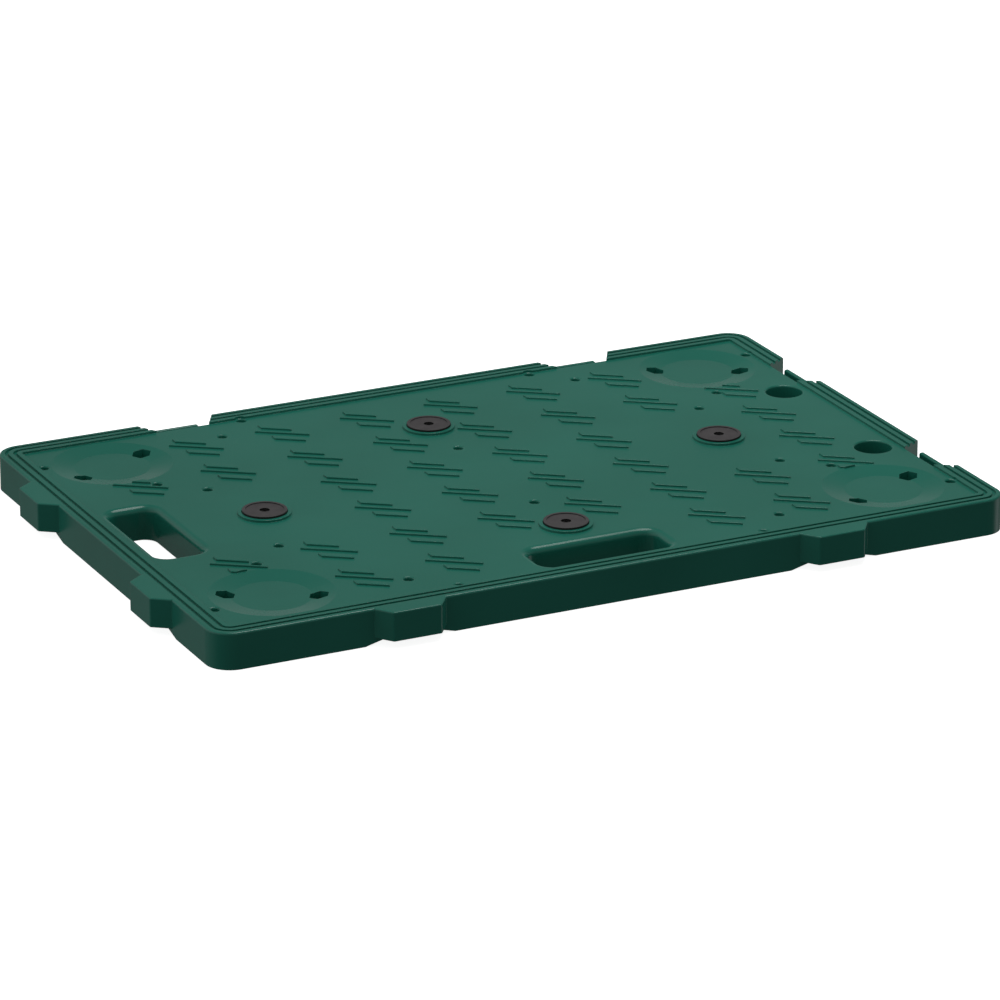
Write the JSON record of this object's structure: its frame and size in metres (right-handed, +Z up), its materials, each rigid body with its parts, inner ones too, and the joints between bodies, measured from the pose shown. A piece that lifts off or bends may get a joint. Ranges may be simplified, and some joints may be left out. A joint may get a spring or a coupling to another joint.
{
  "type": "plastic pallet",
  "caption": "Ribbed plastic pallet deck with stepped rim, hand holes, interlocking edge lugs, caster wells and screwed-on rubber pads.",
  "frame": {"origin": "centre of the moulding's underside, on the crossing of the two middle ribs", "axes": "+X along the long side towards the handle sockets, +Y towards the side with the notches, +Z up"},
  "size_m": [0.612, 0.412, 0.0276],
  "materials": {
    "deck": "moulded, slight sheen",
    "pad": "matte",
    "washer": "blackened",
    "screw": "blackened"
  },
  "bodies": {
    "root": {"deck": "deck", "pad_front": "pad", "pad_washer_front": "washer", "pad_screw_front": "screw", "pad_rear": "pad", "pad_washer_rear": "washer", "pad_screw_rear": "screw", "pad_left": "pad", "pad_washer_left": "washer", "pad_screw_left": "screw", "pad_right": "pad", "pad_washer_right": "washer", "pad_screw_right": "screw"}
  },
  "joints": []
}
